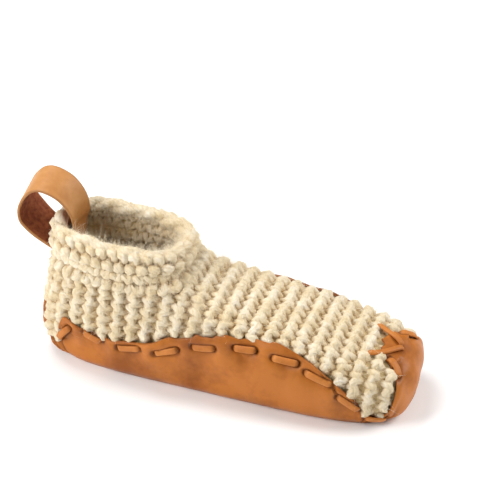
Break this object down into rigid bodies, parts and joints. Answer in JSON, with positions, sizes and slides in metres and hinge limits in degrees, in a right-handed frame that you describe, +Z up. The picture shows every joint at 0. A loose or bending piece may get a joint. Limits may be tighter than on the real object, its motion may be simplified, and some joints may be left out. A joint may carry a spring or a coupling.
{
  "type": "slipper",
  "caption": "House slipper: chunky cream knitted wool sock in a tan leather sole laced on with a flat leather thong, with a leather pull loop at the back of the collar",
  "frame": {"origin": "on the floor, under the middle of the sole", "axes": "+X from heel to toe, +Z up, Y across the foot"},
  "size_m": [0.2758, 0.089, 0.1246],
  "materials": {
    "wool": "matte",
    "leather": "satin",
    "thong": "satin"
  },
  "bodies": {
    "root": {"knit_upper": "wool", "leather_sole": "leather", "pull_loop": "leather", "thong_bar_far": "thong", "thong_bar_near": "thong", "thong_far_ball": "thong", "thong_far_ball_back": "thong", "thong_far_ball_front": "thong", "thong_far_heel": "thong", "thong_far_heel_flap": "thong", "thong_far_heel_front": "thong", "thong_far_heel_tab": "thong", "thong_far_toe_flap": "thong", "thong_far_toe_low": "thong", "thong_far_toe_rise": "thong", "thong_far_waist": "thong", "thong_far_waist_front": "thong", "thong_heel_top": "thong", "thong_near_ball": "thong", "thong_near_ball_back": "thong", "thong_near_ball_front": "thong", "thong_near_heel": "thong", "thong_near_heel_flap": "thong", "thong_near_heel_front": "thong", "thong_near_heel_tab": "thong", "thong_near_toe_flap": "thong", "thong_near_toe_low": "thong", "thong_near_toe_rise": "thong", "thong_near_waist": "thong", "thong_near_waist_front": "thong"}
  },
  "joints": []
}
